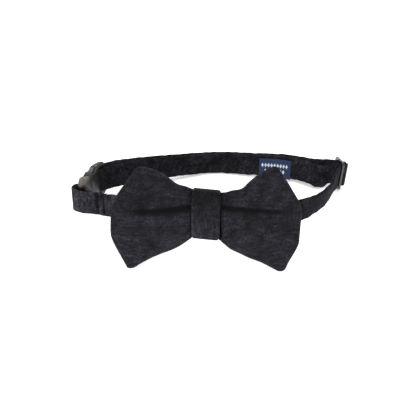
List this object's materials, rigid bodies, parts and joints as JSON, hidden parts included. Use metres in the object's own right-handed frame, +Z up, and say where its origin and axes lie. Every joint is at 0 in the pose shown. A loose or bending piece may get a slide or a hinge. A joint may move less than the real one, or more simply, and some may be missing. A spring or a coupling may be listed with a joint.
{
  "type": "pet bow tie collar",
  "caption": "Adjustable velvet strap collar for a small pet with a padded bow tie on its front, a side-release buckle and a three-bar slider.",
  "frame": {"origin": "centre of the collar's bounding box, on the surface that it stands on", "axes": "+Z up, +X across the neck towards the slider's side, +Y from the bow towards the back of the loop"},
  "size_m": [0.1816, 0.101, 0.0651],
  "materials": {
    "strap_velvet": "short black velvet pile",
    "bow_velvet": "short black velvet pile over soft padding",
    "band_velvet": "short black velvet pile",
    "socket_plastic": "moulded black, polished",
    "prong_plastic": "moulded black, polished",
    "slider_plastic": "moulded black, polished",
    "label_tape": "navy woven tape, satin"
  },
  "bodies": {
    "root": {"collar_strap": "strap_velvet", "bow": "bow_velvet", "knot_band": "band_velvet", "buckle_socket": "socket_plastic", "buckle_prong": "prong_plastic", "slider": "slider_plastic", "woven_label": "label_tape"}
  },
  "joints": []
}
